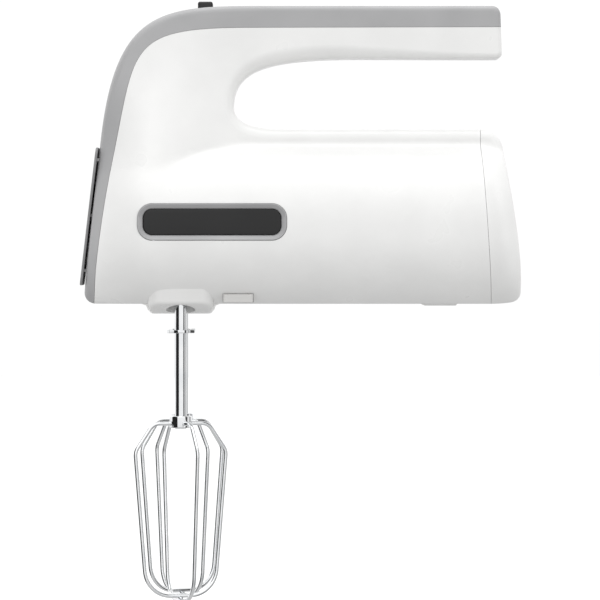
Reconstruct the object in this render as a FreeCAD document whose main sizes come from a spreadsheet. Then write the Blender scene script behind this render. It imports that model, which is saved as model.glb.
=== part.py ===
"""Cordless hand mixer: housing, drive, battery, controls and two wire beaters.

Millimetres, +Z up, +X towards the rear, -Y the user's left.  The origin lies on
the boss sole, midway between the two beater axes.
"""
import FreeCAD
import Part
import Sketcher

import math
import os

from FreeCAD import Rotation, Vector

os.makedirs("parts", exist_ok=True)
doc = FreeCAD.newDocument("hand_mixer")
PARTS = []

# Driving dimensions -------------------------------------------------------------

SIZES = {
    # outline of the housing, seen from the side
    "body_floor": 4.7,
    "body_front": -45.1,
    "body_rear": 158.6,
    "ridge_top": 86.2,
    "grip_floor": 119.4,
    "grip_top": 143.9,
    "grip_end": 149.4,
    "opening_nose": 24.7,
    # widths of the housing
    "body_half_width": 40.0,
    "grip_half_width": 15.5,
    "wall": 2.2,
    "end_round": 2.4,
    "grip_round": 6.0,
    "opening_round": 5.0,
    "body_round": 4.0,
    "seam": 0.15,
    # boss and beater sockets
    "beater_spacing": 40.0,
    "boss_half_length": 15.2,
    "boss_half_width": 28.4,
    "boss_corner": 6.0,
    "boss_taper": 2.0,
    "sole_flat": 7.0,
    "sole_radius": 48.0,
    "socket_radius": 6.8,
    "socket_depth": 5.2,
    # front cover
    "cover_half_width": 17.5,
    "cover_thickness": 1.2,
    "cover_gap_top": 0.6,
    "cover_gap_bottom": 1.3,
    "rib_pitch": 25.9,
    "rib_height": 1.2,
    # badge
    "badge_length": 63.9,
    "badge_height": 12.0,
    "bezel_length": 69.2,
    "bezel_height": 17.1,
    "badge_across": 14.8,
    "badge_up": 42.8,
    # foot and outlets
    "foot_length": 17.0,
    "foot_width": 30.0,
    "foot_drop": 0.9,
    "outlet_length": 14.0,
    # beaters
    "shaft_radius": 2.95,
    "shaft_top": 34.0,
    "hub_radius": 5.25,
    "hub_length": 5.6,
    "hub_lift": 0.7,
    "hub_middle": -51.0,
    "wire_radius": 1.0,
    "cage_radius": 22.6,
    "cage_bottom": -133.6,
    "collar_drop": 8.2,
    # drive
    "axis_up": 42.0,
    "gear_module": 1.0,
    "wheel_teeth": 30.0,
    "wheel_width": 8.0,
    "worm_radius": 5.0,
    "worm_length": 22.0,
    "spindle_radius": 4.8,
    "spindle_top": 54.0,
    "running_fit": 0.06,
    "drive_shaft_radius": 2.0,
    "motor_radius": 22.0,
    "motor_front": 36.0,
    "motor_length": 39.0,
    "fan_radius": 19.0,
    # battery
    "cell_radius": 9.2,
    "cell_length": 65.0,
    "cell_pitch": 18.7,
    "cell_front": 84.6,
    # controls
    "knob_length": 7.0,
    "knob_width": 16.0,
    "knob_across": 11.3,
    "knob_top": 146.2,
    "slide_travel": 16.0,
    "press_travel": 4.0,
    # screws
    "screw_radius": 1.5,
    "screw_head_radius": 2.8,
}


class Size(float):
    """A dimension that remembers the spreadsheet expression it comes from."""

    def __new__(cls, value, text):
        size = super().__new__(cls, value)
        size.text = text
        return size

    def __add__(self, other):
        return Size(float(self) + float(other), f"({self.text} + {written(other)})")

    def __radd__(self, other):
        return Size(float(other) + float(self), f"({written(other)} + {self.text})")

    def __sub__(self, other):
        return Size(float(self) - float(other), f"({self.text} - {written(other)})")

    def __rsub__(self, other):
        return Size(float(other) - float(self), f"({written(other)} - {self.text})")

    def __mul__(self, other):
        return Size(float(self) * float(other), f"({self.text} * {written(other)})")

    def __rmul__(self, other):
        return Size(float(other) * float(self), f"({written(other)} * {self.text})")

    def __truediv__(self, other):
        return Size(float(self) / float(other), f"({self.text} / {written(other)})")

    def __neg__(self):
        return Size(-float(self), f"(-1 * {self.text})")


def written(value):
    """The expression text of a size or of a plain number."""
    return value.text if isinstance(value, Size) else f"({float(value):.6f})"


def make_sheet():
    """Write the driving dimensions to the spreadsheet; return them as sizes by name."""
    sheet = doc.addObject("Spreadsheet::Sheet", "sizes")
    sizes = {}
    for row, (name, value) in enumerate(SIZES.items(), start=1):
        sheet.set(f"A{row}", name)
        sheet.set(f"B{row}", str(value))
        sheet.setAlias(f"B{row}", name)
        sizes[name] = Size(value, f"sizes.{name}")
    doc.recompute()
    return sizes


class Named:
    """The sizes as attributes, so that D.wall reads the cell called wall."""

    def __init__(self, sizes):
        self.__dict__.update(sizes)


D = Named(make_sheet())

# Builders -----------------------------------------------------------------------

AXES = {
    "Z": Rotation(),
    "X": Rotation(Vector(0, 1, 0), 90),
    "Y": Rotation(Vector(1, 0, 0), -90),
}


def bind(thing, prop, size):
    """Set a property, and tie it to the sheet when the size comes from there."""
    if isinstance(size, Size):
        thing.setExpression(prop, size.text)


def place(thing, at, along="Z"):
    """Put an object at a point, with its own Z along a frame axis."""
    thing.Placement = FreeCAD.Placement(Vector(*at), AXES[along])
    for letter, value in zip("xyz", at):
        bind(thing, f"Placement.Base.{letter}", value)


def keep(thing, label):
    """Enter an object in the list of sub-parts under its own label."""
    thing.Label = label
    PARTS.append(thing)
    return thing


def feature(label, shape):
    """A sub-part whose shape is made directly."""
    thing = doc.addObject("Part::Feature", label + "_shape")
    thing.Shape = shape
    return keep(thing, label)


def origin_plane(body, role):
    """One of a body's own origin planes."""
    return next(f for f in body.Origin.OriginFeatures if f.Role == role)


def pin_point(sketch, index, x, y):
    """Fix the start point of one sketch line at x, y."""
    for kind, axis, value in (("DistanceX", -2, x), ("DistanceY", -1, y)):
        if float(value) == 0.0:
            sketch.addConstraint(Sketcher.Constraint("PointOnObject", index, 1, axis))
        else:
            sketch.addConstraint(Sketcher.Constraint(kind, index, 1, float(value)))
            bind(sketch, f"Constraints[{sketch.ConstraintCount - 1}]", value)


def polygon(body, points, role="XY_Plane", offset=0.0):
    """A sketch of straight lines through the points, fixed to the sheet's sizes."""
    sketch = body.newObject("Sketcher::SketchObject", "outline")
    sketch.AttachmentSupport = (origin_plane(body, role), [""])
    sketch.MapMode = "FlatFace"
    sketch.AttachmentOffset = FreeCAD.Placement(Vector(0, 0, float(offset)), Rotation())
    bind(sketch, "AttachmentOffset.Base.z", offset)
    count = len(points)
    ends = [Vector(float(x), float(y), 0) for x, y in points]
    for index in range(count):
        sketch.addGeometry(Part.LineSegment(ends[index], ends[(index + 1) % count]), False)
    for index in range(count):
        sketch.addConstraint(
            Sketcher.Constraint("Coincident", index, 2, (index + 1) % count, 1))
    for index, (x, y) in enumerate(points):
        pin_point(sketch, index, x, y)
    return sketch


def new_body(label, at, along):
    """An empty body at its place."""
    body = doc.addObject("PartDesign::Body", label + "_body")
    place(body, at, along)
    return keep(body, label)


def turned(label, outline, at=(0.0, 0.0, 0.0), along="Z"):
    """A body turned about its own Z from an outline of (radius, height) points."""
    body = new_body(label, at, along)
    sketch = polygon(body, outline, "XZ_Plane")
    spin = body.newObject("PartDesign::Revolution", "turn")
    spin.Profile = sketch
    spin.ReferenceAxis = (sketch, ["V_Axis"])
    spin.Angle = 360.0
    sketch.Visibility = False
    return body


def rectangle(x0, x1, y0, y1):
    """Corner points of a rectangle."""
    return [(x0, y0), (x1, y0), (x1, y1), (x0, y1)]


def box(x0, x1, y0, y1, z0, z1):
    """A plain box between limits, as a shape."""
    corner = Vector(float(x0), float(y0), float(z0))
    return Part.makeBox(float(x1) - float(x0), float(y1) - float(y0), float(z1) - float(z0), corner)


def rod(radius, start, end):
    """A plain cylinder between two points, as a shape."""
    foot = Vector(*[float(c) for c in start])
    span = Vector(*[float(c) for c in end]) - foot
    return Part.makeCylinder(float(radius), span.Length, foot, span)


def tube(outer, inner, start, end):
    """A round tube between two points, as a shape."""
    return rod(outer, start, end).cut(rod(inner, start, end))


def mirrored(shape):
    """The same shape on the other side of the middle plane."""
    return shape.mirror(Vector(0, 0, 0), Vector(0, 1, 0))


# Housing outline ------------------------------------------------------------------


def bend(start, leave, pull_out, end, arrive, pull_in):
    """A smooth curve in the XZ plane, from a point and heading to another."""
    first = Vector(float(start[0]), 0, float(start[1]))
    last = Vector(float(end[0]), 0, float(end[1]))
    out = Vector(math.cos(math.radians(leave)), 0, math.sin(math.radians(leave)))
    into = Vector(math.cos(math.radians(arrive)), 0, math.sin(math.radians(arrive)))
    curve = Part.BezierCurve()
    curve.setPoles([first, first + out * pull_out, last - into * pull_in, last])
    return curve.toShape()


def straight(start, end):
    """A straight edge in the XZ plane."""
    return Part.makeLine(Vector(float(start[0]), 0, float(start[1])),
                         Vector(float(end[0]), 0, float(end[1])))


SHOULDER = (D.body_front + 7.3, 79.0)
CREST = (45.0, D.grip_top)
TOE = 10.5
LEAN = math.degrees(math.atan2(SHOULDER[1] - TOE, SHOULDER[0] - D.body_front))
SHOULDER_PULL, CREST_PULL = 67.5, 52.5


def outline_points():
    """Corners of the side outline: x, z, heading, and the pulls of the curve that follows."""
    end, heel = D.grip_end, D.body_rear
    return [
        (D.body_front, TOE, LEAN, None),
        (*SHOULDER, LEAN, (SHOULDER_PULL, CREST_PULL)),
        (*CREST, 0, None),
        (end - 4.0, D.grip_top, 0, (2.5, 2.5)),
        (end, D.grip_top - 4.5, -90, None),
        (end + 0.6, D.grip_floor + 2.7, -90, (1.5, 1.5)),
        (end - 1.7, D.grip_floor, 180, None),
        (D.opening_nose + 60.1, D.grip_floor, 180, (43.0, 18.4)),
        (D.opening_nose, 96.8, 270, (4.9, 19.9)),
        (D.opening_nose + 23.5, D.ridge_top, 0, None),
        (heel - 16.2, D.ridge_top, 0, (4.0, 4.0)),
        (heel - 8.2, D.ridge_top - 8.4, -81.5, (22.0, 22.0)),
        (heel, D.body_floor + 6.3, -90, (3.4, 3.4)),
        (heel - 5.0, D.body_floor + 0.6, 188, (3.0, 3.0)),
        (heel - 14.0, D.body_floor, 180, None),
        (D.body_front + 5.4, D.body_floor, 180, (3.4, 3.4)),
    ]


def housing_outline(inset):
    """The housing seen from the side, smaller all round by inset."""
    corners = outline_points()
    moved = []
    for x, z, heading, _ in corners:
        turn = math.radians(heading)
        moved.append((x + inset * math.sin(turn), z - inset * math.cos(turn)))
    edges = []
    for index, (x, z, heading, pulls) in enumerate(corners):
        after = (index + 1) % len(corners)
        start, end = moved[index], moved[after]
        if pulls is None:
            edges.append(straight(start, end))
            continue
        arrive = corners[after][2]
        span = math.hypot(corners[after][0] - x, corners[after][1] - z)
        scale = math.hypot(end[0] - start[0], end[1] - start[1]) / span
        edges.append(bend(start, heading, pulls[0] * scale, end, arrive, pulls[1] * scale))
    return Part.Wire(Part.__sortEdges__(edges))


def ease(value, low, high):
    """A smooth step from 0 at low to 1 at high."""
    share = min(1.0, max(0.0, (value - low) / (high - low)))
    return share * share * (3 - 2 * share)


def front_at(height):
    """Where the housing's front lies at a height."""
    foot = SHOULDER[1]
    if height < foot:
        return D.body_front + (height - TOE) * (SHOULDER[0] - D.body_front) / (foot - TOE)
    turn = math.radians(LEAN)
    poles = [SHOULDER, (SHOULDER[0] + SHOULDER_PULL * math.cos(turn),
                        foot + SHOULDER_PULL * math.sin(turn)),
             (CREST[0] - CREST_PULL, CREST[1]), CREST]
    low, high = 0.0, 0.85
    for _ in range(24):
        share = (low + high) / 2
        rest = 1 - share
        weights = (rest ** 3, 3 * rest ** 2 * share, 3 * rest * share ** 2, share ** 3)
        if sum(w * pole[1] for w, pole in zip(weights, poles)) < height:
            low = share
        else:
            high = share
    return sum(w * pole[0] for w, pole in zip(weights, poles))


WIDEST = 39.0


def underside(height):
    """How far the sides have drawn in below the widest height, as a share."""
    share = max(0.0, WIDEST - height) / (WIDEST - 0.5)
    return (1 - min(share, 0.99) ** 2.4) ** 0.5


def barrel_half_width(height):
    """Half width of the motor barrel."""
    share = max(0.0, height - WIDEST) / 42.0
    return D.body_half_width * underside(height) * (1 - min(share, 0.96) ** 2.3) ** 0.5


def neck_half_width(across, height):
    """Half width of the column, wide at the front and as narrow as the grip behind."""
    at_front = D.body_half_width + (D.grip_half_width - D.body_half_width) * ease(height, 20, 150)
    rear = ease(across, -15, 32)
    return (at_front * (1 - rear) + D.grip_half_width * rear) * underside(height)


def merged(first, second, blend=3.0):
    """The larger of two half widths, with a smooth change from one to the other."""
    return max(first, second) + 0.25 * max(0.0, blend - abs(first - second)) ** 2 / blend


def half_width(across, height):
    """Half width of the whole housing at a place in the side view."""
    behind_front = min(1.0, max(-0.4, (across - front_at(height)) / 30))
    blunt = 0.48 + 0.52 * ease(height, 70, 138)
    nose = blunt + (1 - blunt) * (1 - (1 - behind_front) ** 2)
    before_rear = D.body_rear + 0.6 - max(0.0, height - 11) * 0.12 - across
    before_rear = min(1.0, max(-0.4, before_rear / 16))
    end = 0.74 + 0.26 * (1 - (1 - before_rear) ** 2)
    return merged(barrel_half_width(height) * end, neck_half_width(across, height)) * nose


def side_face(inset):
    """The left side as a smooth surface, moved inwards by inset."""
    columns, rows, step = 70, 64, 0.5
    across = [-56 + i * 228 / (columns - 1) for i in range(columns)]
    heights = [i * 152 / (rows - 1) for i in range(rows)]
    grid = []
    for x in across:
        line = []
        for z in heights:
            width = half_width(x, z)
            slope_x = (half_width(x + step, z) - half_width(x - step, z)) / (2 * step)
            slope_z = (half_width(x, z + step) - half_width(x, z - step)) / (2 * step)
            tilt = min(2.2, math.sqrt(1 + slope_x ** 2 + slope_z ** 2))
            line.append(Vector(x, -max(3.0, width - inset * tilt), z))
        grid.append(line)
    surface = Part.BSplineSurface()
    surface.interpolate(grid)
    return surface.toShape()


def envelope(inset):
    """The housing as one closed solid, smaller all round by inset."""
    wire = housing_outline(float(inset))
    profile = Part.Face(wire).extrude(Vector(0, 120, 0))
    profile.translate(Vector(0, -60, 0))
    left = side_face(float(inset)).extrude(Vector(0, 100, 0))
    solid = profile.common(left).common(mirrored(left)).Solids[0]
    return solid if inset > 0 else rounded(solid)


def round_at(point):
    """The radius of the housing's side edges at a place."""
    if point.x > D.grip_end - 12 and point.z > D.ridge_top + 20:
        return D.end_round
    if point.z > D.grip_floor - 8:
        return D.grip_round
    if point.z > D.ridge_top + 4:
        return D.opening_round
    return D.body_round


def rounded(solid):
    """The solid with both sides' edges rounded, more at the grip than at its end."""
    sharp = doc.addObject("Part::Feature", "sharp_housing")
    sharp.Shape = solid
    rounding = doc.addObject("Part::Fillet", "housing_rounding")
    rounding.Base = sharp
    chain = []
    for number, edge in enumerate(solid.Edges, start=1):
        middle = edge.valueAt((edge.FirstParameter + edge.LastParameter) / 2)
        if abs(middle.y) > 3:
            ends = (edge.valueAt(edge.FirstParameter), edge.valueAt(edge.LastParameter))
            chain.append((number, *[float(round_at(end)) for end in ends]))
    rounding.Edges = chain
    doc.recompute()
    return rounding.Shape


def trim_region(inset):
    """All that lies in front of and above the trim's edge, moved back by inset."""
    foot = (D.body_front + 3.8 + inset, -4.8)
    low = (D.body_front + 5.4 + inset, 20.0)
    rise = (D.body_front + 13.4 + inset, 72.4)
    turn = (34.0, D.grip_top - 10.1 - inset)
    tail = (D.grip_end + 10, D.grip_top - 9.8 - inset)
    edges = [
        straight(foot, low),
        bend(low, 84.0, 17.0, rise, 78.5, 17.0),
        bend(rise, 78.5, 54.2, turn, 0, 59.6),
        straight(turn, tail),
        straight(tail, (D.grip_end + 10, 160)),
        straight((D.grip_end + 10, 160), (-70, 160)),
        straight((-70, 160), (-70, -4.8)),
        straight((-70, -4.8), foot),
    ]
    region = Part.Face(Part.Wire(Part.__sortEdges__(edges))).extrude(Vector(0, 120, 0))
    region.translate(Vector(0, -60, 0))
    return region


def cap_region(inset):
    """All that lies behind the rear cap's slanted seam."""
    top, toe = D.body_rear - 18.6 + inset, D.body_rear - 13.2 + inset
    points = [(top, D.ridge_top + 1.5), (top, D.ridge_top - 8.4),
              (toe, -5.0), (180.0, -5.0), (180.0, D.ridge_top + 1.5)]
    corners = [Vector(float(x), -60, float(z)) for x, z in points]
    return Part.Face(Part.makePolygon(corners + corners[:1])).extrude(Vector(0, 120, 0))


OUTER = envelope(0.0)
INNER = envelope(D.wall)
SHELL = OUTER.cut(INNER)

# Housing ----------------------------------------------------------------------------

POST_RADIUS = 4.4
SCREW_PLACES = [(-33.0, 28.0), (-28.0, 72.0), (84.0, 13.5), (137.0, 16.0),
                (34.0, 76.0), (100.0, D.grip_floor + D.wall + POST_RADIUS - 0.2), (128.0, 76.0)]
SEAT = 8.0
HEAD_HEIGHT = 2.0
SCREW_TIP = -9.0
SIDES = (("left", -1), ("right", 1))


def half_space(side):
    """A block that holds one side of the middle plane."""
    return box(-80, 200, 0, 60, -20, 170) if side > 0 else box(-80, 200, -60, 0, -20, 170)


def sole_wire():
    """The boss seen from the front: a flat strip, an arc and a leaning side each way."""
    flat, radius, width = D.sole_flat, D.sole_radius, D.boss_half_width
    front, top = -float(D.boss_half_length), 13.0
    turn = math.asin(float((width - flat) / radius))

    def on_arc(side, angle):
        across = side * (flat + radius * math.sin(angle))
        return Vector(front, float(across), float(radius * (1 - math.cos(angle))))

    shoulders = [Vector(front, side * float(width + D.boss_taper), top) for side in (-1, 1)]
    edges = [Part.makeLine(on_arc(-1, 0), on_arc(1, 0)), Part.makeLine(*shoulders)]
    for side, shoulder in zip((-1, 1), shoulders):
        edges.append(Part.Arc(on_arc(side, 0), on_arc(side, turn / 2), on_arc(side, turn)).toShape())
        edges.append(Part.makeLine(on_arc(side, turn), shoulder))
    return Part.Wire(Part.__sortEdges__(edges))


def boss_block():
    """The block under the front that carries both beater sockets."""
    length = D.boss_half_length
    block = Part.Face(sole_wire()).extrude(Vector(2 * float(length), 0, 0))
    upright = [e for e in block.Edges
               if e.BoundBox.XLength < 0.01 and e.BoundBox.ZLength > 7 and e.BoundBox.ZMax > 12.9]
    block = block.makeFillet(float(D.boss_corner), upright)
    rim = [e for e in block.Edges
           if e.BoundBox.ZMax < 6.5 and (e.BoundBox.XLength < 20 or e.BoundBox.YMax > 8
                                         or e.BoundBox.YMin < -8)]
    block = block.makeFillet(2.4, rim)
    for end in (-1, 1):
        reach = length + 3.6
        outline = [Vector(end * reach, -20, 4.9), Vector(end * (length - 1), -20, 4.9),
                   Vector(end * (length - 1), -20, 1.6)]
        outline.append(Vector(end * length, -20, 1.6))
        outline.append(Vector(end * (length + 0.9), -20, 3.9))
        flare = Part.Face(Part.makePolygon(outline + outline[:1])).extrude(Vector(0, 40, 0))
        block = block.fuse(flare)
    return block


def inner_ribs():
    """Ribs and posts that stand on the inside of the housing, on both sides."""
    ribs = []
    for across in (-14.0, 12.0):
        for y in (-40, 28):
            ribs.append(box(across, across + 2, y, y + 12, 20, D.axis_up - 12))
    motor = rod(D.motor_radius + 0.05, (0, 0, D.axis_up), (100, 0, D.axis_up))
    for across in (50.0, 70.0):
        ribs.append(box(across, across + 2, -40, 40, 18, 66).cut(motor))
    holder_floor = D.axis_up - D.cell_radius - 1.8
    for across in (96.0, 142.0):
        ribs.append(box(across, across + 2, -40, 40, 5, holder_floor))
    ribs.append(box(26, 49, -15, 15, 121.5, 124))
    stem_hole = box(D.knob_across - 2.3, D.knob_across + 2.3, -3.3, 3.3, 99, 103)
    ribs.append(box(2, 16.8, -30, 30, 100, 102).cut(stem_hole))
    return ribs


def screw_posts():
    """The posts that the housing screws run through."""
    return [rod(POST_RADIUS, (x, -40, z), (x, 40, z)) for x, z in SCREW_PLACES]


def screw_holes():
    """Clearance holes, head recesses and pilot holes for the housing screws."""
    holes = []
    for x, z in SCREW_PLACES:
        holes.append(rod(D.screw_radius + 0.05, (x, SCREW_TIP - 1, z), (x, 30, z)))
        holes.append(rod(D.screw_head_radius + 0.3, (x, SEAT, z), (x, 60, z)))
    return holes


def rounded_wire(length, height, corner, across, up, depth):
    """A rounded rectangle in an XZ plane, centred at across, up."""
    half_long, half_high, r = length / 2, height / 2, corner
    lines = []
    corners = [(1, -1), (1, 1), (-1, 1), (-1, -1)]
    for index, (sx, sz) in enumerate(corners):
        nx, nz = corners[(index + 1) % 4]
        centre = Vector(across + sx * (half_long - r), depth, up + sz * (half_high - r))
        start = math.atan2(sz, sx) - math.pi / 4
        points = [centre + Vector(math.cos(a), 0, math.sin(a)) * r
                  for a in (start, start + math.pi / 4, start + math.pi / 2)]
        lines.append(Part.Arc(*points).toShape())
        next_centre = Vector(across + nx * (half_long - r), depth, up + nz * (half_high - r))
        end = start + math.pi / 2
        leave = centre + Vector(math.cos(end), 0, math.sin(end)) * r
        reach = next_centre + Vector(math.cos(end), 0, math.sin(end)) * r
        lines.append(Part.makeLine(leave, reach))
    return Part.Wire(Part.__sortEdges__(lines))


def rounded_block(length, height, corner, depth_from, depth_to):
    """A rounded rectangular prism at the badge's place, between two depths."""
    wire = rounded_wire(float(length), float(height), corner,
                        float(D.badge_across), float(D.badge_up), float(depth_from))
    return Part.Face(wire).extrude(Vector(0, float(depth_to) - float(depth_from), 0))


BEZEL_FACE = -(D.body_half_width - 0.25)
BEZEL_BACK = BEZEL_FACE + 3.0
OUTLET = (19.8, 19.8 + D.outlet_length, -29.0, -19.0, 5.5, 9.4)
FOOT = (112.0, 112.0 + D.foot_length)
SOCKET_UP = 60.0
SOCKET_RADIUS = 4.5


def outlet_block(clearance):
    """The left air outlet's block, grown by a clearance."""
    x0, x1, y0, y1, z0, z1 = (float(v) for v in OUTLET)
    return box(x0 - clearance, x1 + clearance, y0 - clearance, y1 + clearance,
               z0 - clearance, z1 + clearance)


def housing_openings():
    """All that is cut through the housing's walls."""
    cuts = screw_holes()
    gap = float(D.seam)
    left = rounded_block(D.bezel_length + 2 * gap, D.bezel_height + 2 * gap, 7.1, -50, -33)
    outlet = outlet_block(gap)
    cuts += [left, mirrored(left), outlet, mirrored(outlet)]
    for side in (-1, 1):
        y = side * D.beater_spacing / 2
        cuts.append(rod(D.socket_radius, (0, y, -2), (0, y, 14)))
        cuts.append(rod(1.65, (sum(FOOT) / 2, side * 8, 3), (sum(FOOT) / 2, side * 8, 9)))
    return cuts


def make_housing():
    """The two housing halves, the trim and the rear cap."""
    casing = SHELL.cut(trim_region(float(D.seam))).cut(cap_region(-float(D.seam)))
    inside = INNER.cut(cap_region(-6.0)).cut(trim_region(4.0))
    reach = OUTER.cut(cap_region(-6.0)).cut(trim_region(4.0))
    ribs = [rib.common(inside) for rib in inner_ribs()]
    posts = [post.common(reach) for post in screw_posts()]
    solid = casing.fuse(ribs + posts + [boss_block()])
    solid = solid.cut(housing_openings())
    for name, side in SIDES:
        half = solid.common(half_space(side))
        feature(f"{name}_housing", max(half.Solids, key=lambda piece: piece.Volume))


def make_trim():
    """The strip that runs up the front and along the grip, with its vent ribs."""
    strip = SHELL.common(trim_region(0.0))
    slots = []
    for index in range(9):
        up = 17.5 + index * 6.6
        slots.append(box(-60, -30, -12, 12, up, up + 2.6))
    window = box(D.knob_across - D.knob_length / 2 - 0.5,
                 D.knob_across + D.knob_length / 2 + D.slide_travel + 0.5,
                 -D.knob_width / 2 - 0.4, D.knob_width / 2 + 0.4, 135, 150)
    strip = strip.cut(slots + [window])
    ribs = []
    for index in range(3):
        up = 20.2 + index * float(D.rib_pitch)
        ribs.append(box(-60, front_at(up) + 0.6, -15, 15, up - D.rib_height / 2,
                        up + D.rib_height / 2))
    ribs = [rib.cut(cover_shape(-20.0, 0.0)) for rib in ribs]
    strip = strip.fuse(ribs)
    feature("spine_trim", max(strip.Solids, key=lambda piece: piece.Volume))


def cover_shape(front, back):
    """A slab over the vent, between two distances ahead of its back face."""
    foot, head = 13.3, 77.7
    foot_x = front_at(foot) - float(D.cover_gap_bottom)
    head_x = front_at(head) - float(D.cover_gap_top)
    points = [Vector(foot_x + back, 0, foot), Vector(head_x + back, 0, head),
              Vector(head_x + front, 0, head), Vector(foot_x + front, 0, foot)]
    slab = Part.Face(Part.makePolygon(points + points[:1]))
    half = float(D.cover_half_width)
    slab = slab.extrude(Vector(0, 2 * half, 0))
    slab.translate(Vector(0, -half, 0))
    return slab


def make_cover():
    """The plate that stands off the front, with rounded corners."""
    slab = cover_shape(-float(D.cover_thickness), 0.0)
    corners = [edge for edge in slab.Edges
               if edge.Length < D.cover_thickness * 1.2]
    feature("front_vent_cover", slab.makeFillet(4.0, corners))


def make_rear_cap():
    """The rear cap with the hole for the charging socket, and the socket itself."""
    cap = SHELL.common(cap_region(0.0))
    hole = rod(SOCKET_RADIUS + 0.1, (140, 0, SOCKET_UP), (170, 0, SOCKET_UP))
    cap = cap.cut(hole)
    feature("rear_cap", max(cap.Solids, key=lambda piece: piece.Volume))
    rear = D.body_rear - 5.6
    outline = [(0.0, 0.0), (SOCKET_RADIUS, 0.0), (SOCKET_RADIUS, 13.0), (2.9, 13.0),
               (2.9, 3.0), (0.9, 3.0), (0.9, 12.0), (0.0, 12.0)]
    turned("charging_socket", outline, (rear - 13.0, 0.0, SOCKET_UP), "X")


def make_badges():
    """A dished bezel and a badge plate on each side."""
    face, back = float(BEZEL_FACE), float(BEZEL_BACK)
    block = rounded_block(D.bezel_length, D.bezel_height, 7.0, face, back)
    across, up = float(D.badge_across), float(D.badge_up)
    rim = rounded_wire(float(D.bezel_length) - 0.8, float(D.bezel_height) - 0.8, 6.6,
                       across, up, face - 0.01)
    foot = rounded_wire(float(D.badge_length) + 0.2, float(D.badge_height) + 0.2, 4.3,
                        across, up, face + 1.3)
    dish = Part.makeLoft([rim, foot], True, True)
    pit = rounded_block(D.badge_length + 0.2, D.badge_height + 0.2, 4.3, face + 1.2, face + 2.0)
    bezel = block.cut(dish).cut(pit)
    plate = rounded_block(D.badge_length, D.badge_height, 4.2, face + 0.8, face + 2.0)
    rim_edges = [edge for edge in plate.Edges if abs(edge.BoundBox.YMax - (face + 0.8)) < 1e-4]
    plate = plate.makeFillet(0.4, rim_edges)
    for name, side in SIDES:
        feature(f"{name}_badge_bezel", bezel if side < 0 else mirrored(bezel))
        feature(f"{name}_badge_plate", plate if side < 0 else mirrored(plate))


def make_outlets():
    """The two air outlet grilles on the underside."""
    block = outlet_block(0.0)
    upper = [edge for edge in block.Edges
             if edge.BoundBox.ZMin > OUTLET[5] - 0.01 and edge.BoundBox.YMax < OUTLET[2] + 0.01
             or abs(edge.BoundBox.YMax - OUTLET[2]) < 0.01 and edge.BoundBox.ZLength > 1]
    block = block.makeFillet(1.0, upper)
    slots = [box(OUTLET[0] + 1.9 + 3.0 * n, OUTLET[0] + 3.3 + 3.0 * n, -27.4, -20.6, 0, 20)
             for n in range(4)]
    grille = block.cut(slots)
    for name, side in SIDES:
        feature(f"{name}_air_outlet", grille if side < 0 else mirrored(grille))


def make_foot():
    """The low rest foot under the rear, with two pegs into the floor."""
    x0, x1 = float(FOOT[0]), float(FOOT[1])
    low, high = float(D.body_floor - D.foot_drop), float(D.body_floor)
    points = [(x0, high), (x0 + 0.3, low + 0.7), (x0 + 2.0, low), (x1 - 0.6, low), (x1, high)]
    half = float(D.foot_width) / 2
    corners = [Vector(x, -half, z) for x, z in points]
    foot = Part.Face(Part.makePolygon(corners + corners[:1])).extrude(Vector(0, 2 * half, 0))
    middle = (x0 + x1) / 2
    pegs = [rod(1.6, (middle, y, high - 0.5), (middle, y, high + 3.5)) for y in (-8, 8)]
    feature("rest_foot", foot.fuse(pegs).removeSplitter())


def make_housing_screws():
    """Seven screws from the right half into the left."""
    screws = []
    for x, z in SCREW_PLACES:
        shank = rod(D.screw_radius, (x, SCREW_TIP, z), (x, SEAT, z))
        head = rod(D.screw_head_radius, (x, SEAT, z), (x, SEAT + HEAD_HEIGHT, z))
        slot = box(x - 2.2, x + 2.2, SEAT + 1.2, SEAT + 3, z - 0.3, z + 0.3)
        cross = box(x - 0.3, x + 0.3, SEAT + 1.2, SEAT + 3, z - 2.2, z + 2.2)
        screws.append(shank.fuse(head).cut([slot, cross]))
    feature("housing_screws", Part.makeCompound(screws))


def make_socket_rings():
    """A dark ring inside each beater socket's mouth."""
    rings = [tube(D.socket_radius - 0.05, 5.3, (0, side * D.beater_spacing / 2, D.socket_depth),
                  (0, side * D.beater_spacing / 2, D.socket_depth + 4.0))
             for _, side in SIDES]
    feature("socket_rings", Part.makeCompound(rings))


make_housing()
make_trim()
make_cover()
make_rear_cap()
make_badges()
make_outlets()
make_foot()
make_housing_screws()
make_socket_rings()

# Drive ------------------------------------------------------------------------------

WHEEL_RADIUS = D.gear_module * D.wheel_teeth / 2
TRAY_TOP = D.axis_up - 9.5
TRAY_FLOOR = TRAY_TOP - 2.5
COVER_FLOOR = D.axis_up + 8.0
TRAY_FRONT, TRAY_REAR = -21.0, 23.5
TRAY_HALF = 36.6
BEARING_RADIUS = 5.0
LEAD = 2 * math.pi * D.gear_module
ROTOR_FRONT = TRAY_FRONT + 0.6


def gear_profile(turn, up):
    """One layer of the worm wheel's toothed outline, turned by an angle."""
    teeth = int(D.wheel_teeth)
    tip, root = WHEEL_RADIUS + 0.75, WHEEL_RADIUS - 1.15
    pitch = 2 * math.pi / teeth
    points = []
    for tooth in range(teeth):
        for radius, share in ((root, -0.28), (tip, -0.11), (tip, 0.11), (root, 0.28)):
            angle = turn + (tooth + share) * pitch
            points.append(Vector(radius * math.cos(angle), radius * math.sin(angle), up))
    return Part.makePolygon(points + points[:1])


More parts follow.
